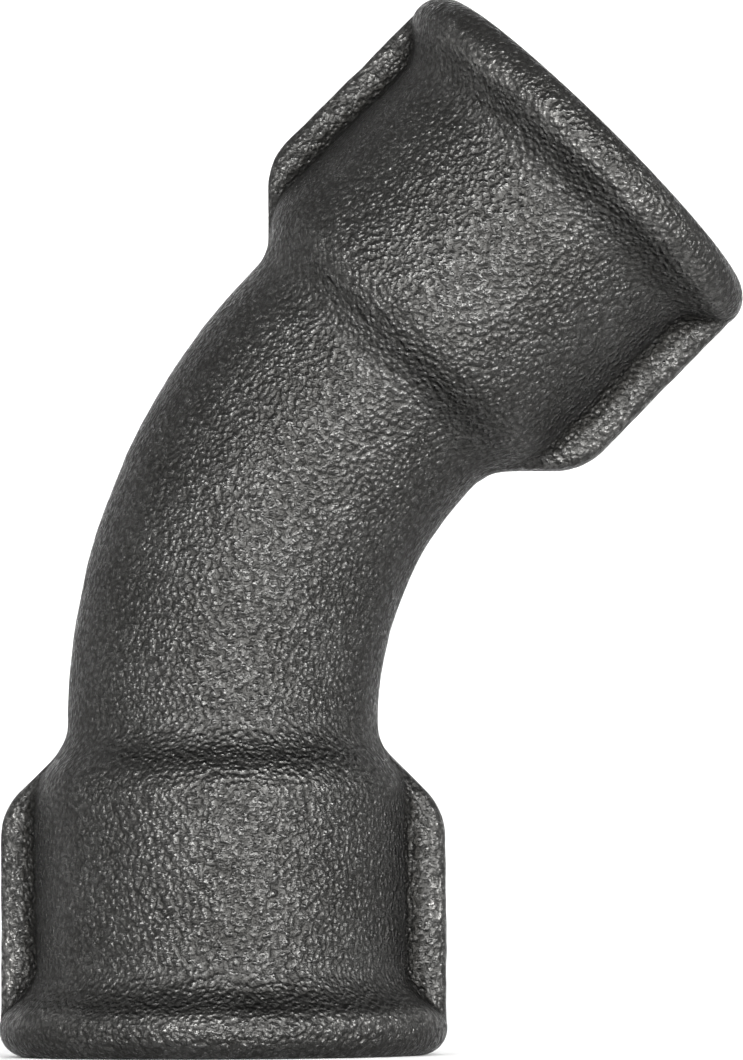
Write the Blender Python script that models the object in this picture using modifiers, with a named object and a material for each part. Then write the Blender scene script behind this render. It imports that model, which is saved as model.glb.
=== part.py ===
"""A 45 degree long sweep pipe elbow with two threaded sockets, in malleable cast iron.

The casting is one rigid body. It is built as three solids that meet face to face where the straight
sockets end and the bend begins: lower_socket, bend and upper_socket. The lower socket stands on its
mouth, its axis is vertical, and the elbow turns towards +X in the XZ plane. The origin is at the middle
of the part's footprint, on the plane of the lower mouth.
"""

import math

import bmesh
import bpy
from mathutils import Matrix, Vector

MM = 0.001

# The line of the elbow
CENTRE_TO_FACE = 36.0 * MM  # from the crossing of the two axes to each mouth
BEND_ANGLE = math.radians(45)
SOCKET_LENGTH = 22.3 * MM  # from a mouth to where the bend begins

# The pipe thread, 14 turns to the inch with 55 degree flanks and right-handed
THREAD_MAJOR_RADIUS = 20.955 / 2 * MM
THREAD_PITCH = 25.4 / 14 * MM
THREAD_FLANK = math.radians(27.5)
THREAD_FLAT = THREAD_PITCH / 6  # at the root and at the crest
THREAD_RUN_OUT = 1.5 * MM  # cored hole past the last turn
MOUTH_CHAMFER = 0.5 * MM  # past the major radius
WATERWAY_STEP = 1.32 * MM  # from the thread's crest in to the waterway

# The outside of a socket
SOCKET_WALL = 2.15 * MM  # behind the thread's root
SOCKET_FLOOR = 2.6 * MM  # from the end of the cored hole to the shoulder
BEND_WALL = 2.35 * MM
RIM_HEIGHT = 2.37 * MM  # of the band at the mouth, above the socket
RIM_WIDTH = 3.4 * MM
RIM_CORNER = 2.05 * MM
RIM_FLARE = 1.7 * MM  # length of the slope from the band down to the socket
SHOULDER_LENGTH = 1.9 * MM  # of the slope from the socket down to the bend
SHOULDER_FOOT = 1.8 * MM  # straight length between the shoulder and the bend
EDGE_FILLET = 1.0 * MM
HOLLOW_FILLET = 1.4 * MM

# The two gripping ribs of a socket, in the plane of the bend
RIB_THICKNESS = 3.4 * MM
RIB_SETBACK = 0.1 * MM  # of a rib's edge from the rim's
RIB_SLOPE = math.radians(45)  # from the rib's edge down to the bend
RIB_CORNER_FILLET = 4.4 * MM  # where the rib turns down to the bend
RIB_FOOT_FILLET = 2.0 * MM
RIB_FOOT_GAP = 0.2 * MM  # from the foot to where the bend begins
RIB_FOOT_SINK = 0.2 * MM  # of the foot into the wall of the bend
RIB_EDGE = 0.6 * MM
RIB_DEPTH_IN_WALL = 1.5 * MM  # how far a rib reaches into the wall that carries it

# Facets
TURN_STEPS = 36
BEND_STEPS = 12
FILLET_STEPS = 3

TANGENT_LENGTH = CENTRE_TO_FACE - SOCKET_LENGTH
BEND_RADIUS = TANGENT_LENGTH / math.tan(BEND_ANGLE / 2)  # of the centreline
THREAD_DEPTH = (THREAD_PITCH - 2 * THREAD_FLAT) / 2 / math.tan(THREAD_FLANK)
THREAD_MINOR_RADIUS = THREAD_MAJOR_RADIUS - THREAD_DEPTH
BORE_RADIUS = THREAD_MINOR_RADIUS - WATERWAY_STEP
BEND_OUTER_RADIUS = BORE_RADIUS + BEND_WALL
SOCKET_RADIUS = THREAD_MAJOR_RADIUS + SOCKET_WALL
RIM_RADIUS = SOCKET_RADIUS + RIM_HEIGHT
RIB_RADIUS = RIM_RADIUS - RIB_SETBACK
RIB_START = RIM_CORNER + EDGE_FILLET / 2  # inside the rim
SHOULDER_END = SOCKET_LENGTH - SHOULDER_FOOT
SHOULDER_START = SHOULDER_END - SHOULDER_LENGTH
TAPPED_DEPTH = SHOULDER_START - SOCKET_FLOOR
THREAD_LENGTH = TAPPED_DEPTH - THREAD_RUN_OUT


def footprint_middle():
    """How far the middle of the part's width lies from the lower socket's axis, towards +X."""
    reach = CENTRE_TO_FACE * math.sin(BEND_ANGLE)
    flat = RIM_RADIUS - RIM_CORNER
    farthest = (
        reach
        + flat * math.cos(BEND_ANGLE)
        - RIM_CORNER * math.sin(BEND_ANGLE)
        + RIM_CORNER
    )
    return (farthest - RIM_RADIUS) / 2


LOWER_AXIS_X = -footprint_middle()


def rounded(corners, radii):
    """The outline through corners, with each inner corner replaced by an arc of its own radius."""
    outline = [corners[0]]
    for before, corner, after, radius in zip(corners, corners[1:], corners[2:], radii):
        if radius == 0:
            outline.append(corner)
            continue
        at, back, ahead = Vector(corner), Vector(before), Vector(after)
        to_back, to_ahead = (back - at).normalized(), (ahead - at).normalized()
        half_angle = to_back.angle(to_ahead) / 2
        reach = radius / math.tan(half_angle)
        centre = at + (to_back + to_ahead).normalized() * radius / math.sin(half_angle)
        first = at + to_back * reach - centre
        sweep = first.angle_signed(at + to_ahead * reach - centre)
        for step in range(FILLET_STEPS + 1):
            turn = Matrix.Rotation(-sweep * step / FILLET_STEPS, 2)
            outline.append(tuple(centre + turn @ first))
    return outline + [corners[-1]]


def link(name, mesh, collection):
    obj = bpy.data.objects.new(name, mesh)
    collection.objects.link(obj)
    return obj


def turned(name, profile, closed, collection, steps, pitch=0.0, turns=1):
    """A profile of (radius, height) points turned about Z, or wound along it where a pitch is given."""
    mesh = bpy.data.meshes.new(name)
    edges = [(i, i + 1) for i in range(len(profile) - 1)]
    if closed:
        edges.append((len(profile) - 1, 0))
    mesh.from_pydata([(radius, 0, height) for radius, height in profile], edges, [])
    obj = link(name, mesh, collection)
    screw = obj.modifiers.new("turn", "SCREW")
    screw.steps = screw.render_steps = steps
    screw.screw_offset = pitch
    screw.iterations = turns
    screw.use_merge_vertices = True
    screw.merge_threshold = 1e-6
    return obj


def made_mesh(obj, collection):
    """The object as a plain mesh with its open ends filled and its faces pointing out. It replaces obj."""
    bpy.context.view_layer.update()
    evaluated = obj.evaluated_get(bpy.context.evaluated_depsgraph_get())
    mesh = bpy.data.meshes.new_from_object(evaluated)
    shape = bmesh.new()
    shape.from_mesh(mesh)
    bmesh.ops.remove_doubles(shape, verts=shape.verts, dist=1e-7)
    bmesh.ops.holes_fill(shape, edges=[e for e in shape.edges if e.is_boundary])
    bmesh.ops.recalc_face_normals(shape, faces=shape.faces)
    shape.to_mesh(mesh)
    shape.free()
    made = link(obj.name + "_mesh", mesh, collection)
    made.matrix_world = obj.matrix_world
    bpy.data.objects.remove(obj)
    return made


def socket_profile():
    """The closed outline of a socket with its mouth at height 0, down the outside and up the bore."""
    rim_end = RIM_WIDTH + RIM_FLARE
    outside = rounded(
        [
            (BEND_OUTER_RADIUS, SOCKET_LENGTH),
            (BEND_OUTER_RADIUS, SHOULDER_END),
            (SOCKET_RADIUS, SHOULDER_START),
            (SOCKET_RADIUS, rim_end),
            (RIM_RADIUS, RIM_WIDTH),
            (RIM_RADIUS, 0),
            (THREAD_MAJOR_RADIUS + MOUTH_CHAMFER, 0),
        ],
        [HOLLOW_FILLET, EDGE_FILLET, HOLLOW_FILLET, EDGE_FILLET / 2, RIM_CORNER],
    )
    chamfer_end = MOUTH_CHAMFER + THREAD_DEPTH
    waterway_start = TAPPED_DEPTH + WATERWAY_STEP
    inside = [
        (THREAD_MINOR_RADIUS, chamfer_end),
        (THREAD_MINOR_RADIUS, TAPPED_DEPTH),
        (BORE_RADIUS, waterway_start),
        (BORE_RADIUS, SOCKET_LENGTH),
    ]
    return outside + inside


def thread_groove(cutters):
    """The space between the turns of the thread, as one long tooth wound along the socket's axis."""
    inside = THREAD_MINOR_RADIUS - THREAD_DEPTH / 8
    half_root = THREAD_FLAT / 2
    half_mouth = half_root + (THREAD_MAJOR_RADIUS - inside) * math.tan(THREAD_FLANK)
    tooth = [
        (inside, half_mouth),
        (THREAD_MAJOR_RADIUS, half_root),
        (THREAD_MAJOR_RADIUS, -half_root),
        (inside, -half_mouth),
    ]
    turns = math.floor(THREAD_LENGTH / THREAD_PITCH) + 1
    wound = turned("groove", tooth, True, cutters, TURN_STEPS, THREAD_PITCH, turns)
    wound.location.z = THREAD_LENGTH - turns * THREAD_PITCH
    wound.rotation_euler.z = math.pi / TURN_STEPS  # so that no facet's edge lies on the bore's
    return made_mesh(wound, cutters)


def rib_edge():
    """The outer edge of a rib, from inside the rim to its foot on the bend, as (radius, height) points."""
    foot = BEND_OUTER_RADIUS - RIB_FOOT_SINK
    fillet_end = SOCKET_LENGTH - RIB_FOOT_GAP
    slope_end = fillet_end - RIB_FOOT_FILLET * math.tan(RIB_SLOPE / 2)
    corner = slope_end - (RIB_RADIUS - foot) / math.tan(RIB_SLOPE)
    end = SOCKET_LENGTH - RIB_FOOT_GAP / 2
    return rounded(
        [(RIB_RADIUS, RIB_START), (RIB_RADIUS, corner), (foot, slope_end), (foot, end)],
        [RIB_CORNER_FILLET, RIB_FOOT_FILLET],
    )


def round_rib(obj, edge):
    """Rounds both of the plate's long edges where they follow its outer edge, leaving the buried ones."""
    shape = bmesh.new()
    shape.from_mesh(obj.data)
    bmesh.ops.dissolve_limit(shape, angle_limit=math.radians(1), verts=shape.verts, edges=shape.edges)
    outer = {v for v in shape.verts if min((v.co.xy - Vector(p)).length for p in edge) < 1e-6}
    long_edges = [
        e for e in shape.edges if outer.issuperset(e.verts) and abs(e.verts[0].co.z - e.verts[1].co.z) < 1e-6
    ]
    bmesh.ops.bevel(shape, geom=long_edges, offset=RIB_EDGE, segments=2, profile=0.5, affect="EDGES")
    shape.to_mesh(obj.data)
    shape.free()


def rib(name, side, cutters):
    """One gripping rib, on the +X side of the socket (side 1) or its -X side (side -1)."""
    edge = rib_edge()
    root = [
        (BEND_OUTER_RADIUS - RIB_DEPTH_IN_WALL, edge[-1][1]),
        (SOCKET_RADIUS - RIB_DEPTH_IN_WALL, TAPPED_DEPTH),
        (SOCKET_RADIUS - RIB_DEPTH_IN_WALL, RIB_START),
    ]
    outline = [(side * radius, height) for radius, height in edge + root]
    plate = bpy.data.curves.new(name, "CURVE")
    plate.dimensions = "2D"
    plate.fill_mode = "BOTH"
    plate.extrude = RIB_THICKNESS / 2
    spline = plate.splines.new("POLY")
    spline.points.add(len(outline) - 1)
    for point, (x, y) in zip(spline.points, outline):
        point.co = (x, y, 0, 1)
    spline.use_cyclic_u = True
    obj = link(name, plate, cutters)
    obj.rotation_euler.x = math.pi / 2
    made = made_mesh(obj, cutters)
    round_rib(made, outline[: len(edge)])
    return made


def boolean(obj, other, operation):
    cut = obj.modifiers.new(operation.lower(), "BOOLEAN")
    cut.operation = operation
    cut.object = other


def socket(name, placing, part, cutters, material):
    """A threaded socket, turned with its mouth at height 0, then placed."""
    obj = turned(name, socket_profile(), True, part, TURN_STEPS)
    for side in (1, -1):
        boolean(obj, rib(f"{name}_rib", side, cutters), "UNION")
    boolean(obj, thread_groove(cutters), "DIFFERENCE")
    for modifier in obj.modifiers:
        if modifier.type == "BOOLEAN":
            modifier.object.matrix_world = placing @ modifier.object.matrix_world
    obj.matrix_world = placing
    obj.data.materials.append(material)
    return obj


def bend(part, material):
    """The curved tube between the sockets: a ring swept round the centre of the bend."""
    shape = bmesh.new()
    for radius in (BEND_OUTER_RADIUS, BORE_RADIUS):
        bmesh.ops.create_circle(shape, segments=TURN_STEPS, radius=radius)
    bmesh.ops.bridge_loops(shape, edges=shape.edges)
    bmesh.ops.spin(
        shape,
        geom=shape.verts[:] + shape.edges[:] + shape.faces[:],
        cent=(BEND_RADIUS, 0, 0),
        axis=(0, 1, 0),
        angle=BEND_ANGLE,
        steps=BEND_STEPS,
    )
    bmesh.ops.recalc_face_normals(shape, faces=shape.faces)
    mesh = bpy.data.meshes.new("bend")
    shape.to_mesh(mesh)
    shape.free()
    obj = link("bend", mesh, part)
    obj.location = (LOWER_AXIS_X, 0, SOCKET_LENGTH)
    obj.data.materials.append(material)
    return obj


def cast_iron():
    material = bpy.data.materials.new("black_malleable_iron")
    material.use_nodes = True
    surface = material.node_tree.nodes["Principled BSDF"]
    surface.inputs["Base Color"].default_value = (0.045, 0.044, 0.043, 1)
    surface.inputs["Metallic"].default_value = 0.3
    surface.inputs["Roughness"].default_value = 0.5
    return material


def hide(cutters):
    for obj in cutters.objects:
        obj.hide_render = True
        obj.display_type = "WIRE"


def shade(part):
    for obj in part.objects:
        obj.data.shade_smooth()
        obj.data.set_sharp_from_angle(angle=math.radians(30))


def main():
    for obj in list(bpy.data.objects):
        bpy.data.objects.remove(obj)
    part = bpy.data.collections.new("pipe_elbow")
    cutters = bpy.data.collections.new("cutters")
    for collection in (part, cutters):
        bpy.context.scene.collection.children.link(collection)
    material = cast_iron()
    lower_mouth = Matrix.Translation((LOWER_AXIS_X, 0, 0))
    crossing = Matrix.Translation((LOWER_AXIS_X, 0, CENTRE_TO_FACE))
    half_turn = Matrix.Rotation(math.pi + BEND_ANGLE, 4, "Y")
    upper_mouth = crossing @ half_turn @ Matrix.Translation((0, 0, -CENTRE_TO_FACE))
    socket("lower_socket", lower_mouth, part, cutters, material)
    bend(part, material)
    socket("upper_socket", upper_mouth, part, cutters, material)
    hide(cutters)
    shade(part)


main()
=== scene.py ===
"""A black malleable iron pipe elbow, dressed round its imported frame.

The casting's skin follows one rule from mouth to mouth, so its three pieces meet without a step: a turned
outline, two ribs at each end, and the unevenness that a sand mould leaves. The threads are real helices.
"""

import logging
import math
from collections.abc import Sequence
from dataclasses import dataclass, field
from enum import Enum
from typing import Any

import bpy
import numpy as np
from mathutils import Euler, Matrix, Vector, noise

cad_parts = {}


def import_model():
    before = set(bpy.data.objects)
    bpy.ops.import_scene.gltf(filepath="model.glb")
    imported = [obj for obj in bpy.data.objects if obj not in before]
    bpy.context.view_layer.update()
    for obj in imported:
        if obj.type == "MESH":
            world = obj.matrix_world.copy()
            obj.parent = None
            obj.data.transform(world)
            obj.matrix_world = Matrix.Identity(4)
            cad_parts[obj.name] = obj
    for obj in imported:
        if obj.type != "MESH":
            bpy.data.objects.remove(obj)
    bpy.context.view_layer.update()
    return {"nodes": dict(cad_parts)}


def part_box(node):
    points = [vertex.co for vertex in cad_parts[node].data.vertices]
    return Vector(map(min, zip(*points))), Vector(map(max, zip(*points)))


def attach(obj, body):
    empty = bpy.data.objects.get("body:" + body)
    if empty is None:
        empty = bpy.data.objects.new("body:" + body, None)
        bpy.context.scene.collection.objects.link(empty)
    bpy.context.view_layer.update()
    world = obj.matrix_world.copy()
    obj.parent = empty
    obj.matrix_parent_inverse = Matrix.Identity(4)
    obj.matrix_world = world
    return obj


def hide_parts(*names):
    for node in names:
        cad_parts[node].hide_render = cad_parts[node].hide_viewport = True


MM = 0.001
BODY = "root"
CLOUD_MIDDLE = 0.5

log = logging.getLogger("pipe_elbow")


class Zone(Enum):
    """Which finish a stretch of the wall has. The value is its material slot."""

    CAST = 0
    MACHINED = 1
    WATERWAY = 2


# ---------------------------------------------------------------------------------------------------------
# Shader expressions
# ---------------------------------------------------------------------------------------------------------


class Signal:
    """A number that varies over a surface. Arithmetic on it adds Math nodes to its material."""

    def __init__(self, shader: "Shader", socket: bpy.types.NodeSocket) -> None:
        """Wraps an output socket.

        Args:
            shader: the material that the socket belongs to.
            socket: the output that carries the number.
        """
        self.shader = shader
        self.socket = socket

    def math(self, operation: str, *values: "Signal | float") -> "Signal":
        """Adds one Math node.

        Args:
            operation: the Math node's operation.
            values: its inputs in order.

        Returns:
            The node's result.
        """
        node = self.shader.node("ShaderNodeMath", {"operation": operation}, dict(enumerate(values)))
        return Signal(self.shader, node.outputs[0])

    def __add__(self, other: "Signal | float") -> "Signal":
        """self + other."""
        return self.math("ADD", self, other)

    def __radd__(self, other: float) -> "Signal":
        """other + self."""
        return self.math("ADD", other, self)

    def __sub__(self, other: "Signal | float") -> "Signal":
        """self - other."""
        return self.math("SUBTRACT", self, other)

    def __rsub__(self, other: float) -> "Signal":
        """other - self."""
        return self.math("SUBTRACT", other, self)

    def __mul__(self, other: "Signal | float") -> "Signal":
        """self * other."""
        return self.math("MULTIPLY", self, other)

    def __rmul__(self, other: float) -> "Signal":
        """other * self."""
        return self.math("MULTIPLY", other, self)

    def __pow__(self, other: float) -> "Signal":
        """self ** other."""
        return self.math("POWER", self, other)

    def between(self, low: float, high: float) -> "Signal":
        """Rises smoothly from 0 where this is low to 1 where it is high.

        Args:
            low: the value that gives 0.
            high: the value that gives 1.

        Returns:
            The eased share.
        """
        node = self.shader.node(
            "ShaderNodeMapRange",
            {"interpolation_type": "SMOOTHSTEP"},
            {"Value": self, "From Min": low, "From Max": high},
        )
        return Signal(self.shader, node.outputs["Result"])


Value = Signal | bpy.types.NodeSocket | float | tuple[float, ...]


class Shader:
    """Builds one material's nodes."""

    def __init__(self, name: str) -> None:
        """Makes an empty material with its output.

        Args:
            name: the material's name.
        """
        self.material = bpy.data.materials.new(name)
        self.material.use_nodes = True
        self.tree = self.material.node_tree
        self.tree.nodes.clear()
        self.output = self.node("ShaderNodeOutputMaterial")

    def node(
        self,
        kind: str,
        settings: dict[str, Any] | None = None,
        values: dict[str | int, Value] | None = None,
    ) -> bpy.types.Node:
        """Adds a node.

        Args:
            kind: the node's type.
            settings: its settings, made first.
            values: what each input holds or is linked to, by name or place.

        Returns:
            The node.
        """
        made = self.tree.nodes.new(kind)
        for key, setting in (settings or {}).items():
            setattr(made, key, setting)
        for key, value in (values or {}).items():
            socket = made.inputs[key]
            if isinstance(value, Signal):
                self.tree.links.new(value.socket, socket)
            elif isinstance(value, bpy.types.NodeSocket):
                self.tree.links.new(value, socket)
            else:
                socket.default_value = value
        return made

    def where(self) -> bpy.types.NodeSocket:
        """The place on the object, in metres."""
        return self.node("ShaderNodeTexCoord").outputs["Object"]

    def kept(self, name: str) -> Signal:
        """A number that the mesh keeps for each point."""
        return Signal(self, self.node("ShaderNodeAttribute", {"attribute_name": name}).outputs["Fac"])

    def kept_vector(self, name: str) -> bpy.types.NodeSocket:
        """A vector that the mesh keeps for each point."""
        return self.node("ShaderNodeAttribute", {"attribute_name": name}).outputs["Vector"]

    def stretched(
        self, vector: bpy.types.NodeSocket, scale: tuple[float, float, float]
    ) -> bpy.types.NodeSocket:
        """The vector with each of its sides scaled."""
        made = self.node("ShaderNodeVectorMath", {"operation": "MULTIPLY"}, {0: vector, 1: scale})
        return made.outputs["Vector"]

    def cloud(
        self, vector: bpy.types.NodeSocket, scale: float, detail: float = 2.0, rough: float = 0.5
    ) -> Signal:
        """Soft noise of about one lump in each 1/scale of the vector."""
        made = self.node(
            "ShaderNodeTexNoise",
            {"noise_dimensions": "3D"},
            {"Vector": vector, "Scale": scale, "Detail": detail, "Roughness": rough},
        )
        return Signal(self, made.outputs["Fac"])

    def pebbles(self, vector: bpy.types.NodeSocket, scale: float, smooth: float) -> Signal:
        """Rounded grains of about 1/scale across, 0 at each one's middle."""
        made = self.node(
            "ShaderNodeTexVoronoi",
            {"feature": "SMOOTH_F1"},
            {"Vector": vector, "Scale": scale, "Smoothness": smooth},
        )
        return Signal(self, made.outputs["Distance"])

    def strayed(self, vector: bpy.types.NodeSocket, scale: float, reach: float) -> bpy.types.NodeSocket:
        """The vector moved about by noise, so that what follows it loses its regular shape."""
        settings = {"noise_dimensions": "3D"}
        drift = self.node("ShaderNodeTexNoise", settings, {"Vector": vector, "Scale": scale})
        moved = self.node(
            "ShaderNodeVectorMath",
            {"operation": "MULTIPLY_ADD"},
            {0: drift.outputs["Color"], 1: (reach, reach, reach), 2: vector},
        )
        return moved.outputs["Vector"]

    def blend(self, share: Signal, first: Value, second: Value) -> bpy.types.NodeSocket:
        """Goes from the first colour to the second as share goes from 0 to 1."""
        made = self.node("ShaderNodeMix", {"data_type": "RGBA"}, {0: share, 6: first, 7: second})
        return made.outputs[2]

    def bump(self, height: Signal, distance: float) -> bpy.types.NodeSocket:
        """The normal of a surface raised by height times distance."""
        return self.node("ShaderNodeBump", None, {"Height": height, "Distance": distance}).outputs["Normal"]

    def surface(self, values: dict[str | int, Value]) -> bpy.types.Material:
        """Ends the material in a Principled node.

        Args:
            values: what its inputs hold or are linked to.

        Returns:
            The finished material.
        """
        shader = self.node("ShaderNodeBsdfPrincipled", None, values)
        self.tree.links.new(shader.outputs[0], self.output.inputs["Surface"])
        return self.material


# ---------------------------------------------------------------------------------------------------------
# Finishes
# ---------------------------------------------------------------------------------------------------------

Colour = tuple[float, float, float, float]


@dataclass(frozen=True)
class SandCastIron:
    """Iron as it leaves a sand mould: a pebbled skin of black oxide under a film of oil.

    A height is a share of the relief, a light is how far a feature takes the colour from deep to plain, and
    a dulling is what it adds to the roughness. The grooves' light is painted light, lightening the colour in
    shallow hollows, and the corners' shade is painted shade, taken off the light, darkening the colour in
    deep corners.
    """

    name: str
    deep: Colour
    plain: Colour
    worn: Colour
    grain: float = 0.43 * MM
    strays_to_grain: float = 0.8
    pebbles_to_grain: float = 1.2
    specks_to_grain: float = 2.1
    patch: float = 4.5 * MM
    relief: float = 0.45 * MM
    peel_height: float = 0.18
    patch_height: float = 0.3
    pebble_height: float = 0.34
    speck_height: float = 0.22
    crest: tuple[float, float] = (0.34, 0.62)
    crest_light: float = 0.6
    patch_light: float = 0.4
    proud_light: float = 0.15
    # Painted light: how far the colour is lightened in shallow hollows such as the rim's groove.
    groove_painted_light: float = 0.3
    # Painted shade: how far the colour is darkened in deep corners such as the ribs' roots.
    corner_painted_shade: float = 0.35
    worn_patch: tuple[float, float] = (0.4, 0.7)
    most_worn: float = 0.7
    dull: float = 0.46
    bright: float = 0.14
    patch_dulling: float = 0.12
    groove_dulling: float = 0.4
    corner_dulling: float = 0.1
    proud_dulling: float = 0.08
    edge: Colour = (0.58, 0.58, 0.58, 1)

    def make(self) -> bpy.types.Material:
        """Builds the material."""
        shader = Shader(self.name)
        where = shader.where()
        peel = shader.cloud(where, 1 / self.grain, detail=1.0)
        strayed = shader.strayed(where, self.strays_to_grain / self.grain, self.grain / 2)
        pebble = 1 - shader.pebbles(strayed, self.pebbles_to_grain / self.grain, smooth=0.25)
        speck = shader.cloud(where, self.specks_to_grain / self.grain, detail=1.5, rough=0.6)
        patch = shader.cloud(where, 1 / self.patch, detail=3.0, rough=0.6)
        hollow = shader.kept("hollow")
        proud = shader.kept("proud")
        groove = hollow * (1 - hollow)
        corner = hollow**4
        height = peel * (self.peel_height + patch * self.patch_height)
        height = height + pebble * self.pebble_height + speck * self.speck_height
        crest = height.between(*self.crest)
        tone_and_painted_light = crest * self.crest_light + patch * self.patch_light + proud * self.proud_light
        # The groove term is painted light, lightening the colour in shallow hollows; the corner term is
        # painted shade, darkening it in deep corners such as the ribs' roots.
        tone_and_painted_light = tone_and_painted_light + groove * self.groove_painted_light - corner * self.corner_painted_shade
        shade = shader.blend(tone_and_painted_light, self.deep, self.plain)
        wear = proud * crest * patch.between(*self.worn_patch) * self.most_worn
        shade = shader.blend(wear, shade, self.worn)
        rough = self.dull - crest * (self.dull - self.bright) + (patch - CLOUD_MIDDLE) * self.patch_dulling
        rough = rough + groove * self.groove_dulling + corner * self.corner_dulling
        rough = rough + proud * self.proud_dulling
        return shader.surface(
            {
                "Base Color": shade,
                "Roughness": rough,
                "Metallic": 1.0,
                "Specular Tint": self.edge,
                "Normal": shader.bump(height, self.relief),
            }
        )


@dataclass(frozen=True)
class TurnedIron:
    """Iron cut to a thread or a face: bright under cutting oil, with the fine rings that the tool leaves."""

    name: str
    clean: Colour
    oiled: Colour
    ring: float = 0.09 * MM
    ring_length: float = 1 / 60
    stain: float = 2.6 * MM
    fleck: float = 0.35 * MM
    stained: tuple[float, float] = (0.35, 0.75)
    flecked: tuple[float, float] = (0.58, 0.8)
    stain_oil: float = 0.45
    hollow_oil: float = 0.5
    fleck_oil: float = 0.4
    bright: float = 0.3
    ring_dulling: float = 0.14
    stain_dulling: float = 0.16
    metal: float = 0.95
    relief: float = 0.012 * MM
    ring_height: float = 0.5
    fleck_height: float = 0.3

    def make(self) -> bpy.types.Material:
        """Builds the material."""
        shader = Shader(self.name)
        straight = shader.kept_vector("straight")
        along_ring = 1 / self.ring_length
        stretched = shader.stretched(straight, (along_ring, along_ring, 1 / self.ring))
        rings = shader.cloud(stretched, 1.0, rough=0.6)
        stain = shader.cloud(straight, 1 / self.stain, detail=4.0, rough=0.62)
        fleck = shader.cloud(straight, 1 / self.fleck)
        hollow = shader.kept("hollow")
        oil = stain.between(*self.stained) * self.stain_oil + hollow * self.hollow_oil
        shade = shader.blend(oil, self.clean, self.oiled)
        shade = shader.blend(fleck.between(*self.flecked) * self.fleck_oil, shade, self.oiled)
        rough = self.bright + rings * self.ring_dulling + stain * self.stain_dulling
        height = rings * self.ring_height + fleck * self.fleck_height
        return shader.surface(
            {
                "Base Color": shade,
                "Roughness": rough,
                "Metallic": self.metal,
                "Normal": shader.bump(height, self.relief),
            }
        )


@dataclass(frozen=True)
class StudioPaint:
    """The plain matt surface that the elbow stands on."""

    name: str
    colour: Colour = (0.92, 0.92, 0.92, 1)
    dull: float = 0.9

    def make(self) -> bpy.types.Material:
        """Builds the material."""
        return Shader(self.name).surface({"Base Color": self.colour, "Roughness": self.dull})


@dataclass(frozen=True)
class Finishes:
    """Every finish on the elbow, made once."""

    materials: dict[Zone, bpy.types.Material] = field(
        default_factory=lambda: {
            Zone.CAST: SandCastIron(
                "black_cast_skin",
                deep=(0.021, 0.0204, 0.0192, 1),
                plain=(0.078, 0.0775, 0.0755, 1),
                worn=(0.17, 0.167, 0.16, 1),
            ).make(),
            Zone.MACHINED: TurnedIron(
                "turned_thread", clean=(0.23, 0.228, 0.222, 1), oiled=(0.07, 0.064, 0.056, 1)
            ).make(),
            Zone.WATERWAY: SandCastIron(
                "raw_waterway",
                deep=(0.012, 0.0105, 0.009, 1),
                plain=(0.045, 0.04, 0.034, 1),
                worn=(0.08, 0.066, 0.052, 1),
                grain=0.7 * MM,
                relief=0.24 * MM,
                dull=0.75,
                bright=0.55,
            ).make(),
        }
    )

    def dress(self, piece: bpy.types.Object) -> None:
        """Gives a piece its material slots, in the order of Zone."""
        for zone in Zone:
            piece.data.materials.append(self.materials[zone])


# ---------------------------------------------------------------------------------------------------------
# The elbow's line and its outline
# ---------------------------------------------------------------------------------------------------------


@dataclass(frozen=True)
class ElbowLine:
    """The middle line of the elbow: up, round a bend towards +X, and straight again."""

    axis_x: float
    straight: float = 22.3 * MM
    centre_to_face: float = 36.0 * MM
    angle: float = math.radians(45)

    @property
    def bend_radius(self) -> float:
        """The radius of the middle line's bend."""
        return (self.centre_to_face - self.straight) / math.tan(self.angle / 2)

    @property
    def bend_length(self) -> float:
        """The length of the bend along the middle line."""
        return self.bend_radius * self.angle

    @property
    def length(self) -> float:
        """The length from mouth to mouth."""
        return 2 * self.straight + self.bend_length

    def place(self, along: np.ndarray, around: np.ndarray, out: np.ndarray) -> np.ndarray:
        """Where points of the elbow lie.

        Args:
            along: distance along the middle line from the lower mouth.
            around: angle round the line, 0 on the inside of the bend.
            out: distance from the line.

        Returns:
            Their places, with x, y and z last.
        """
        radius = self.bend_radius
        turn = np.clip((along - self.straight) / radius, 0.0, self.angle)
        past = np.clip(along - self.straight - self.bend_length, 0.0, None)
        before = np.clip(along, None, self.straight)
        sideways = out * np.cos(around)
        x = self.axis_x + radius * (1 - np.cos(turn)) + past * np.sin(turn) + sideways * np.cos(turn)
        z = before + radius * np.sin(turn) + past * np.cos(turn) - sideways * np.sin(turn)
        return np.stack(np.broadcast_arrays(x, out * np.sin(around), z), axis=-1)


@dataclass(frozen=True)
class Corner:
    """A corner of an outline, at a distance from the mouth and from the line, with its rounding."""

    along: float
    out: float
    rounding: float = 0.0


def outline(corners: Sequence[Corner], steps: int = 14) -> tuple[np.ndarray, np.ndarray]:
    """Rounds the corners of an outline.

    Args:
        corners: the corners in order.
        steps: how many stretches make each arc.

    Returns:
        The distances along and out of the points that draw it.
    """
    points = [Vector((corners[0].along, corners[0].out))]
    for before, corner, after in zip(corners, corners[1:], corners[2:]):
        at = Vector((corner.along, corner.out))
        back = (Vector((before.along, before.out)) - at).normalized()
        ahead = (Vector((after.along, after.out)) - at).normalized()
        half = back.angle(ahead) / 2
        centre = at + (back + ahead).normalized() * corner.rounding / math.sin(half)
        reach = corner.rounding / math.tan(half)
        first, last = at + back * reach - centre, at + ahead * reach - centre
        sweep = first.angle_signed(last)
        points += [centre + Matrix.Rotation(-sweep * i / steps, 2) @ first for i in range(steps + 1)]
    points.append(Vector((corners[-1].along, corners[-1].out)))
    return np.array([p.x for p in points]), np.array([p.y for p in points])


def eased(value: np.ndarray, low: float, high: float) -> np.ndarray:
    """Rises smoothly from 0 at low to 1 at high."""
    share = np.clip((value - low) / (high - low), 0.0, 1.0)
    return share * share * (3 - 2 * share)


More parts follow.
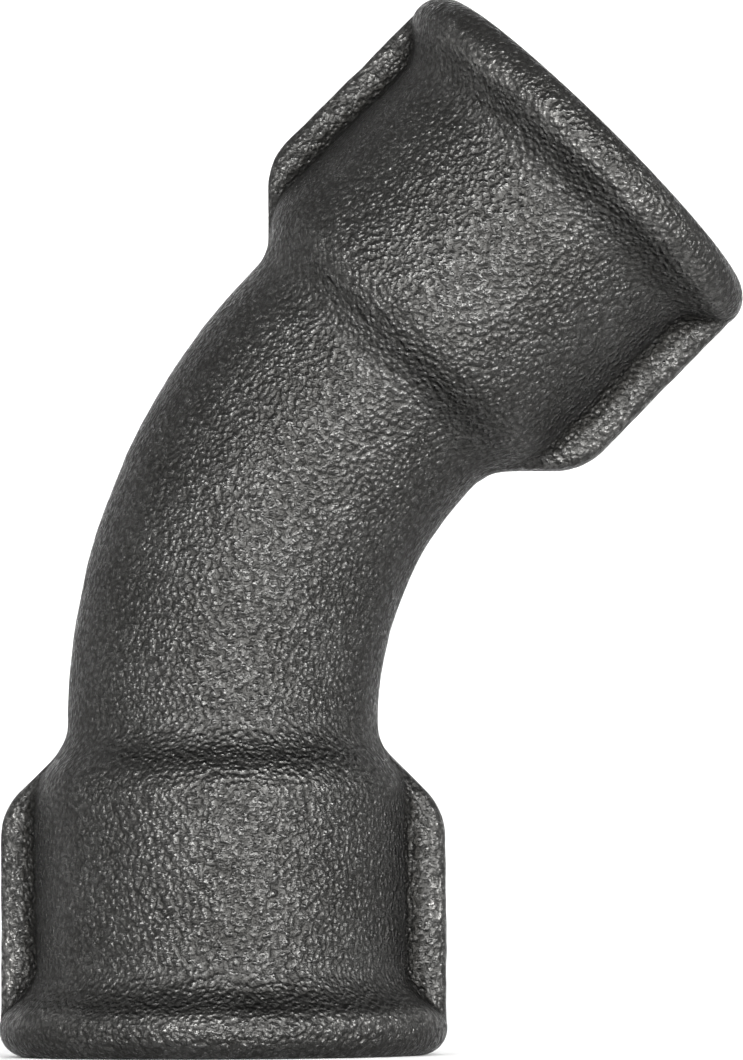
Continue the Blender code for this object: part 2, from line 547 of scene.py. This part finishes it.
@dataclass(frozen=True)
class CastOutside:
    """The outside of the casting: a turned outline joined softly to two ribs at each end."""

    rim: float = 15.02 * MM
    rim_width: float = 2.6 * MM
    rim_slope: float = 2.1 * MM
    rim_corner: float = 1.85 * MM
    rim_edge: float = 1.5 * MM
    rim_foot: float = 3.0 * MM
    socket: float = 12.62 * MM
    tube: float = 10.44 * MM
    shoulder: float = 18.25 * MM
    shoulder_end: float = 21.1 * MM
    shoulder_edge: float = 3.8 * MM
    shoulder_foot: float = 3.4 * MM
    rib: float = 14.97 * MM
    rib_half_width: float = 1.52 * MM
    rib_draft: float = 0.18
    rib_edge: float = 0.6 * MM
    rib_root: float = 0.85 * MM
    rim_root: float = 0.5 * MM
    rim_root_end: float = 4.5 * MM
    full_root_height: float = 1.6 * MM
    least_root: float = 0.02 * MM
    rib_start: float = 1.0 * MM
    rib_start_rise: float = 0.3 * MM
    rib_start_rounding: float = 0.1 * MM
    rib_corner: float = 16.45 * MM
    rib_crown: float = 4.4 * MM
    rib_foot: float = 4.0 * MM
    foot_sink: float = 0.22 * MM
    foot_softness: float = 0.9
    end: float = 30.0 * MM
    margin: float = 1.0 * MM
    halvings: int = 26
    half_way: float = 10.0 * MM
    fine_columns: int = 14401

    def turned(self, along: np.ndarray) -> np.ndarray:
        """The radius without the ribs, at distances from the nearer mouth."""
        points = outline(
            [
                Corner(0.0, self.rim),
                Corner(self.rim_width, self.rim, self.rim_edge),
                Corner(self.rim_width + self.rim_slope, self.socket, self.rim_foot),
                Corner(self.shoulder, self.socket, self.shoulder_edge),
                Corner(self.shoulder_end, self.tube, self.shoulder_foot),
                Corner(self.end, self.tube),
            ]
        )
        return np.interp(along, *points)

    def ribbed(self, along: np.ndarray) -> np.ndarray:
        """The radius of the ribs' edges, at distances from the nearer mouth.

        Each rib starts inside the rim, and its foot ends under the tube's skin.
        """
        foot = self.tube - self.foot_sink
        start = self.socket - self.margin
        points = outline(
            [
                Corner(0.0, start),
                Corner(self.rib_start, start, self.rib_start_rounding),
                Corner(self.rib_start + self.rib_start_rise, self.rib, self.rib_start_rounding),
                Corner(self.rib_corner, self.rib, self.rib_crown),
                Corner(self.rib_corner + self.rib - foot, foot, self.rib_foot),
                Corner(self.end, foot),
            ]
        )
        return np.interp(along, *points)

    def radius(self, along: np.ndarray, around: np.ndarray) -> np.ndarray:
        """The radius of the casting before any unevenness.

        Args:
            along: a column of distances from the nearer mouth.
            around: a row of angles round the line.

        Returns:
            The radius for each pair.
        """
        turned = self.turned(along)
        ribbed = self.ribbed(along)
        from_rim = eased(along, self.rim_width, self.rim_width + self.rim_root_end)
        root = self.rib_root + self.rim_root * (1 - from_rim)
        least = np.where(along < self.shoulder / 2, self.least_root, self.foot_softness * self.foot_sink)
        softness = root * eased(ribbed - turned, 0.0, self.full_root_height) + least
        low = np.full(np.broadcast(along, around).shape, self.tube - self.margin)
        high = np.full_like(low, self.rim + self.margin)
        for _ in range(self.halvings):
            middle = (low + high) / 2
            to_turned = middle - turned
            half_width = self.rib_half_width + self.rib_draft * (ribbed - middle)
            to_side = np.abs(middle * np.sin(around)) - half_width + self.rib_edge
            to_edge = middle - ribbed + self.rib_edge
            to_rib = (
                np.hypot(np.maximum(to_side, 0), np.maximum(to_edge, 0))
                + np.minimum(np.maximum(to_side, to_edge), 0)
                - self.rib_edge
            )
            soft = np.maximum(softness - np.abs(to_turned - to_rib), 0) / softness
            inside = np.minimum(to_turned, to_rib) - soft * soft * softness / 4 < 0
            low, high = np.where(inside, middle, low), np.where(inside, high, middle)
        return (low + high) / 2

    def columns(self, count: int, closer: float = 2.2) -> np.ndarray:
        """Angles round the line, closer together on the sides of the ribs.

        Args:
            count: how many.
            closer: how many times closer they are on the ribs.

        Returns:
            The angles, from 0 up to a full turn.
        """
        fine = np.linspace(0, 2 * math.pi, self.fine_columns)
        section = self.radius(np.array([[self.half_way]]), fine[None])[0]
        x, y = section * np.cos(fine), section * np.sin(fine)
        steps = np.hypot(np.diff(x), np.diff(y))
        steps *= np.where(section[1:] > self.socket + self.least_root, closer, 1.0)
        run = np.concatenate([[0.0], np.cumsum(steps)])
        return np.interp(np.linspace(0, run[-1], count, endpoint=False), run, fine)


@dataclass(frozen=True)
class PipeThread:
    """The thread cut in a socket, with its chamfer, its run-out and the step down to the waterway."""

    major: float = 20.955 / 2 * MM
    pitch: float = 25.4 / 14 * MM
    chamfer: float = 0.5 * MM
    full: float = 13.4 * MM
    run_out: float = 14.9 * MM
    cored: float = 16.0 * MM
    step: float = 1.3 * MM
    bore: float = 8.0 * MM
    flat: float = 1 / 12
    roundness: float = 0.35
    depth_to_pitch: float = 0.6403

    @property
    def depth(self) -> float:
        """The height of the thread."""
        return self.depth_to_pitch * self.pitch

    @property
    def minor(self) -> float:
        """The radius of the thread's crests."""
        return self.major - self.depth

    @property
    def step_end(self) -> float:
        """How far from the mouth the step reaches the waterway."""
        return self.cored + self.step

    def radius(self, from_mouth: np.ndarray, along: np.ndarray, around: np.ndarray) -> np.ndarray:
        """The radius of the hole.

        Args:
            from_mouth: distances from the mouth.
            along: distances along the whole elbow, which the helix follows.
            around: angles round the line.

        Returns:
            The radius for each.
        """
        turn = (along / self.pitch - around / (2 * math.pi)) % 1.0
        from_groove = np.abs(turn - 0.5)
        share = np.clip((from_groove - self.flat) / (0.5 - 2 * self.flat), 0.0, 1.0)
        share = share * (1 - self.roundness) + eased(share, 0.0, 1.0) * self.roundness
        depth = self.depth * (1 - eased(from_mouth, self.full, self.run_out))
        threaded = self.minor + depth * (1 - share)
        chamfered = self.major + self.chamfer - from_mouth
        stepped = self.bore + np.clip(self.step_end - from_mouth, 0.0, None)
        return np.minimum(np.maximum(threaded, chamfered), np.maximum(stepped, self.bore))


@dataclass(frozen=True)
class SandUnevenness:
    """How a sand mould's surface strays from the pattern: a few sizes of lump, each with its height."""

    lumps: tuple[tuple[float, float], ...] = (
        (11 * MM, 0.07 * MM),
        (3.6 * MM, 0.05 * MM),
        (1.3 * MM, 0.034 * MM),
    )
    bead: tuple[float, float] = (0.7 * MM, 0.06 * MM)
    turn: tuple[float, float, float] = (0.6, 0.9, 0.35)

    def rise(self, places: np.ndarray, hollow: np.ndarray) -> np.ndarray:
        """How far the surface stands proud at each place.

        Args:
            places: points of the smooth casting.
            hollow: how deep each lies in a corner of the casting, where the sand leaves beads of iron.

        Returns:
            A distance for each.
        """
        total = sum(height * self.field(places, size) for size, height in self.lumps)
        size, height = self.bead
        return total + height * hollow * self.field(places, size)

    def field(self, places: np.ndarray, size: float) -> np.ndarray:
        """Noise of one lump size at each place, turned so that its lattice never follows the casting."""
        turned = places.reshape(-1, 3) @ np.array(Euler(self.turn).to_matrix())
        scaled = (turned / size).tolist()
        return np.array([noise.noise(point) for point in scaled]).reshape(places.shape[:-1])


# ---------------------------------------------------------------------------------------------------------
# The three pieces
# ---------------------------------------------------------------------------------------------------------


@dataclass
class Rows:
    """Rings of the wall's surface, in order round its section: outside, end, inside, end."""

    along: list[float] = field(default_factory=list)
    out: list[float] = field(default_factory=list)
    zone: list[Zone] = field(default_factory=list)
    uneven: list[float] = field(default_factory=list)
    shaped: list[bool] = field(default_factory=list)

    def add(
        self,
        along: Sequence[float],
        out: Sequence[float],
        zone: Zone,
        uneven: Sequence[float] | float,
        shaped: bool = False,
    ) -> None:
        """Adds rings.

        Args:
            along: the distance of each from the mouth.
            out: the radius of each, which a shaped ring takes from its outline instead.
            zone: the finish of the faces that follow each ring.
            uneven: how much of the mould's unevenness each takes.
            shaped: whether the ribs or the thread shape them.
        """
        count = len(along)
        self.along += list(along)
        self.out += list(out)
        self.zone += [zone] * count
        self.uneven += list(np.broadcast_to(uneven, count))
        self.shaped += [shaped] * count


@dataclass
class Wall:
    """A stretch of the elbow's wall, closed round its outside, its inside and its two ends."""

    name: str
    line: ElbowLine
    outside: CastOutside
    thread: PipeThread
    sand: SandUnevenness
    finishes: Finishes
    columns: np.ndarray
    full_bulge: float = 0.16 * MM
    sharp: float = math.radians(50)

    def nodes(self) -> tuple[str, ...]:
        """The frame's nodes that this piece stands for."""
        return (self.name,)

    def rings(self) -> Rows:
        """The rings of the section. Each kind of wall gives its own."""
        raise NotImplementedError

    def from_line_start(self, from_mouth: np.ndarray) -> np.ndarray:
        """Distances along the whole elbow, from distances from this piece's own start."""
        return from_mouth

    def radii(self, rows: Rows) -> np.ndarray:
        """The radius of every point before unevenness."""
        raise NotImplementedError

    def mesh(self) -> bpy.types.Mesh:
        """Builds the piece's mesh, with its finishes' zones and the attributes that they read."""
        rows = self.rings()
        along = self.from_line_start(np.array(rows.along))[:, None]
        around = self.columns[None]
        smooth = self.radii(rows)
        places = self.line.place(along, around, smooth)
        bulge = self.bulge(rows, along, around)
        hollow = np.clip(-bulge / self.full_bulge, 0, 1)
        radii = smooth + self.sand.rise(places, hollow) * np.array(rows.uneven)[:, None]
        mesh = self.woven(rows, self.line.place(along, around, radii))
        across = radii * np.cos(around), radii * np.sin(around)
        straight = np.stack(np.broadcast_arrays(*across, along), axis=-1)
        self.store(mesh, "straight", "FLOAT_VECTOR", straight)
        self.store(mesh, "hollow", "FLOAT", hollow)
        self.store(mesh, "proud", "FLOAT", np.clip(bulge / self.full_bulge, 0, 1))
        return mesh

    def woven(self, rows: Rows, places: np.ndarray) -> bpy.types.Mesh:
        """Weaves the rings into a closed mesh.

        Args:
            rows: the rings.
            places: where their points lie.

        Returns:
            The mesh, facing out.
        """
        count_rows, count_columns, _ = places.shape
        index = np.arange(count_rows * count_columns).reshape(count_rows, count_columns)
        below, beside = np.roll(index, -1, axis=0), np.roll(index, -1, axis=1)
        faces = np.stack([index, beside, np.roll(below, -1, axis=1), below], axis=-1).reshape(-1, 4)
        points = places.reshape(-1, 3)
        corners = points[faces]
        volume = np.einsum("ij,ij->i", corners[:, 0], np.cross(corners[:, 1], corners[:, 2])).sum()
        volume += np.einsum("ij,ij->i", corners[:, 0], np.cross(corners[:, 2], corners[:, 3])).sum()
        if volume < 0:
            faces = faces[:, ::-1]
        mesh = bpy.data.meshes.new(self.name)
        mesh.from_pydata(points.tolist(), [], faces.tolist())
        zones = np.repeat([zone.value for zone in rows.zone], count_columns)
        mesh.polygons.foreach_set("material_index", zones.astype(np.int32))
        mesh.shade_smooth()
        mesh.set_sharp_from_angle(angle=self.sharp)
        mesh.update()
        return mesh

    @staticmethod
    def store(mesh: bpy.types.Mesh, name: str, kind: str, values: np.ndarray) -> None:
        """Keeps one value for each point as a named attribute."""
        attribute = mesh.attributes.new(name, kind, "POINT")
        attribute.data.foreach_set(
            "vector" if kind == "FLOAT_VECTOR" else "value", values.astype(np.float32).reshape(-1)
        )

    def bulge(
        self, rows: Rows, along: np.ndarray, around: np.ndarray, reach: float = 0.9 * MM
    ) -> np.ndarray:
        """How far each point of the cast outside stands out from the mean of the surface round it.

        Args:
            rows: the rings.
            along: a column of their distances along the elbow.
            around: a row of angles round the line.
            reach: how far away the surface round a point is taken.

        Returns:
            The distance for each point, 0 off the cast outside.
        """
        shaped = np.array(rows.shaped) & np.array([zone is Zone.CAST for zone in rows.zone])
        nearer = np.minimum(along, self.line.length - along)[shaped]
        turn = reach / self.outside.socket
        near = [(nearer - reach, around), (nearer + reach, around)]
        near += [(nearer, around - turn), (nearer, around + turn)]
        result = np.zeros((len(along), around.shape[1]))
        mean = sum(self.outside.radius(np.abs(at), angle) for at, angle in near) / len(near)
        result[shaped] = self.outside.radius(nearer, around) - mean
        return result

    def build(self) -> bpy.types.Object:
        """Makes the piece, dresses it and joins it to the frame."""
        piece = bpy.data.objects.new(f"{self.name}_casting", self.mesh())
        bpy.context.scene.collection.objects.link(piece)
        self.finishes.dress(piece)
        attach(piece, BODY)
        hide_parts(*self.nodes())
        log.info("%s: %d faces", piece.name, len(piece.data.polygons))
        return piece


@dataclass
class Socket(Wall):
    """A threaded socket. Its rings are measured from its own mouth."""

    upper: bool = False
    outer_step: float = 0.17 * MM
    thread_step: float = 0.1 * MM
    bore_step: float = 0.4 * MM
    lip: float = 0.02 * MM
    faced: float = 12.1 * MM
    faced_rings: int = 7
    rough_rings: int = 3
    corner_rings: int = 16
    rough_uneven: tuple[float, float] = (0.1, 0.3)
    corner_uneven: tuple[float, float] = (0.4, 1.0)
    step_uneven: float = 0.4

    def from_line_start(self, from_mouth: np.ndarray) -> np.ndarray:
        """Distances along the elbow: the upper socket is measured back from the far mouth."""
        return self.line.length - from_mouth if self.upper else from_mouth

    def rings(self) -> Rows:
        """The mouth's face, its rounded corner, the outside, the end, the bore and the thread."""
        rows, line, outside, thread = Rows(), self.line, self.outside, self.thread
        mouth = thread.major + thread.chamfer
        flat = outside.rim - outside.rim_corner
        faced = np.linspace(mouth + self.lip, self.faced, self.faced_rings)
        rows.add(np.zeros(self.faced_rings), faced, Zone.MACHINED, 0.0)
        rough = np.linspace(self.faced, flat, self.rough_rings + 1)[1:]
        uneven = np.linspace(*self.rough_uneven, self.rough_rings)
        rows.add(np.zeros(self.rough_rings), rough, Zone.CAST, uneven)
        turn = np.linspace(0, math.pi / 2, self.corner_rings + 2)[1:-1]
        uneven = np.linspace(*self.corner_uneven, self.corner_rings)
        corner = outside.rim_corner * (1 - np.cos(turn))
        rows.add(corner, flat + outside.rim_corner * np.sin(turn), Zone.CAST, uneven)
        count = round((line.straight - outside.rim_corner) / self.outer_step)
        skin = np.linspace(outside.rim_corner, line.straight, count)
        rows.add(skin, np.zeros(count), Zone.CAST, 1.0, True)
        count = round((line.straight - thread.step_end) / self.bore_step)
        bore = np.linspace(line.straight, thread.step_end, count)
        rows.add(bore, np.zeros(count), Zone.WATERWAY, 1.0, True)
        count = round((thread.step_end - thread.run_out) / self.thread_step)
        step = np.linspace(thread.step_end, thread.run_out, count + 1)[1:]
        rows.add(step, np.zeros(count), Zone.WATERWAY, self.step_uneven, True)
        count = round(thread.run_out / self.thread_step)
        threaded = np.linspace(thread.run_out, 0.0, count + 1)[1:]
        rows.add(threaded, np.zeros(count), Zone.MACHINED, 0.0, True)
        return rows

    def radii(self, rows: Rows) -> np.ndarray:
        """The outline with its ribs, then the hole with its thread."""
        from_mouth = np.array(rows.along)[:, None]
        around = self.columns[None]
        radii = np.repeat(np.array(rows.out)[:, None], len(self.columns), axis=1)
        shaped = np.array(rows.shaped)
        cast = shaped & np.array([zone is Zone.CAST for zone in rows.zone])
        hole = shaped & ~cast
        radii[cast] = self.outside.radius(from_mouth[cast], around)
        radii[hole] = self.thread.radius(from_mouth[hole], self.from_line_start(from_mouth[hole]), around)
        return radii


@dataclass
class Bend(Wall):
    """The curved tube between the sockets. Its rings are measured along the elbow."""

    outer_step: float = 0.22 * MM
    inner_step: float = 0.4 * MM

    def rings(self) -> Rows:
        """The outside from the lower end to the upper one, then the waterway back."""
        rows = Rows()
        start, end = self.line.straight, self.line.straight + self.line.bend_length
        count = round((end - start) / self.outer_step)
        rows.add(np.linspace(start, end, count), np.zeros(count), Zone.CAST, 1.0, True)
        count = round((end - start) / self.inner_step)
        rows.add(np.linspace(end, start, count), np.full(count, self.thread.bore), Zone.WATERWAY, 1.0)
        return rows

    def radii(self, rows: Rows) -> np.ndarray:
        """The tube's radius, with the last of each rib's foot, and the waterway's."""
        along = np.array(rows.along)[:, None]
        nearer = np.minimum(along, self.line.length - along)
        radii = np.full((len(rows.along), len(self.columns)), self.thread.bore)
        shaped = np.array(rows.shaped)
        radii[shaped] = self.outside.radius(nearer[shaped], self.columns[None])
        return radii


# ---------------------------------------------------------------------------------------------------------
# The studio
# ---------------------------------------------------------------------------------------------------------


@dataclass(frozen=True)
class Softbox:
    """A soft rectangular light that looks at the elbow."""

    name: str
    place: tuple[float, float, float]
    width: float
    height: float
    watts: float
    aim: tuple[float, float, float] = (0.0, 0.0, 0.035)

    def build(self) -> None:
        """Makes the light and turns it to its aim."""
        data = bpy.data.lights.new(self.name, "AREA")
        data.shape = "RECTANGLE"
        data.size, data.size_y = self.width, self.height
        data.energy = self.watts
        lamp = bpy.data.objects.new(self.name, data)
        lamp.visible_camera = False
        lamp.location = self.place
        towards = Vector(self.aim) - Vector(self.place)
        lamp.rotation_euler = towards.to_track_quat("-Z", "Y").to_euler()
        bpy.context.scene.collection.objects.link(lamp)


@dataclass
class Studio:
    """The floor that sweeps up all round, the lights and the surroundings."""

    floor_radius: float = 0.5
    wall_radius: float = 1.1
    wall_height: float = 0.9
    floor_rings: int = 8
    sweep_rings: int = 24
    spokes: int = 96
    weld: float = 1e-5
    surroundings: float = 0.63
    softboxes: tuple[Softbox, ...] = (
        Softbox("front_softbox", (0.17, -0.58, 0.05), 1.45, 0.42, 29.5),
        Softbox("backdrop_light", (0.0, 0.35, 0.85), 1.0, 0.3, 2.0, (0.0, 1.1, 0.2)),
    )

    def floor(self) -> bpy.types.Object:
        """Turns the floor and its sweep."""
        reach = self.wall_radius - self.floor_radius
        turn = np.linspace(0, math.pi / 2, self.sweep_rings)
        profile = [(self.floor_radius * share, 0.0) for share in np.linspace(0.0, 1.0, self.floor_rings)]
        profile += [
            (self.floor_radius + reach * math.sin(angle), reach * (1 - math.cos(angle)))
            for angle in turn[1:]
        ]
        profile.append((self.wall_radius, self.wall_height))
        edges = [(i, i + 1) for i in range(len(profile) - 1)]
        mesh = bpy.data.meshes.new("studio_floor")
        mesh.from_pydata([(x, 0.0, z) for x, z in profile], edges, [])
        floor = bpy.data.objects.new("studio_floor", mesh)
        bpy.context.scene.collection.objects.link(floor)
        screw = floor.modifiers.new("turn", "SCREW")
        screw.steps = screw.render_steps = self.spokes
        screw.merge_threshold = self.weld
        screw.use_merge_vertices = True
        screw.use_smooth_shade = True
        mesh.materials.append(StudioPaint("pale_floor").make())
        return floor

    def build(self) -> None:
        """Makes the floor, the lights and the world."""
        self.floor()
        for softbox in self.softboxes:
            softbox.build()
        world = bpy.data.worlds.new("studio")
        world.use_nodes = True
        background = world.node_tree.nodes["Background"]
        background.inputs["Color"].default_value = (1.0, 1.0, 1.0, 1.0)
        background.inputs["Strength"].default_value = self.surroundings
        bpy.context.scene.world = world
        bpy.context.scene.view_settings.view_transform = "Standard"
        log.info("studio with %d softboxes", len(self.softboxes))


@dataclass(frozen=True)
class ViewPoint:
    """Where the camera stands, low and almost square to the plane of the bend."""

    azimuth: float = math.radians(3.225)
    elevation: float = math.radians(-4.788)
    roll: float = math.radians(-0.31)
    distance: float = 0.3457
    aim: tuple[float, float, float] = (0.0, 0.0, 0.035317)
    lens: float = 173.7
    sensor: float = 36.0
    near: float = 0.01
    far: float = 10.0

    def build(self) -> bpy.types.Object:
        """Makes the camera and makes it the scene's own."""
        data = bpy.data.cameras.new("camera")
        data.lens, data.sensor_width = self.lens, self.sensor
        data.clip_start, data.clip_end = self.near, self.far
        camera = bpy.data.objects.new("camera", data)
        level = math.cos(self.elevation)
        back = Vector(
            (math.sin(self.azimuth) * level, -math.cos(self.azimuth) * level, math.sin(self.elevation))
        )
        turn = back.to_track_quat("Z", "Y").to_matrix().to_4x4()
        stand = Matrix.Translation(Vector(self.aim) + back * self.distance)
        camera.matrix_world = stand @ turn @ Matrix.Rotation(self.roll, 4, "Z")
        bpy.context.scene.collection.objects.link(camera)
        bpy.context.scene.camera = camera
        return camera


@dataclass
class PipeElbow:
    """The whole elbow: two sockets and the bend between them."""

    column_count: int = 296

    def build(self) -> list[bpy.types.Object]:
        """Makes the three pieces on one line, with one set of columns."""
        low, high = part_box("lower_socket")
        line = ElbowLine(axis_x=(low.x + high.x) / 2)
        outside = CastOutside()
        columns = outside.columns(self.column_count)
        shared = (line, outside, PipeThread(), SandUnevenness(), Finishes(), columns)
        walls = (
            Socket("lower_socket", *shared),
            Bend("bend", *shared),
            Socket("upper_socket", *shared, upper=True),
        )
        return [wall.build() for wall in walls]


def main() -> None:
    """Loads the frame, then makes the camera, the elbow and the studio."""
    logging.basicConfig(level=logging.INFO, format="%(name)s: %(message)s")
    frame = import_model()
    log.info("frame nodes: %s", ", ".join(sorted(frame["nodes"])))
    ViewPoint().build()
    PipeElbow().build()
    Studio().build()


if __name__ == "__main__":
    main()
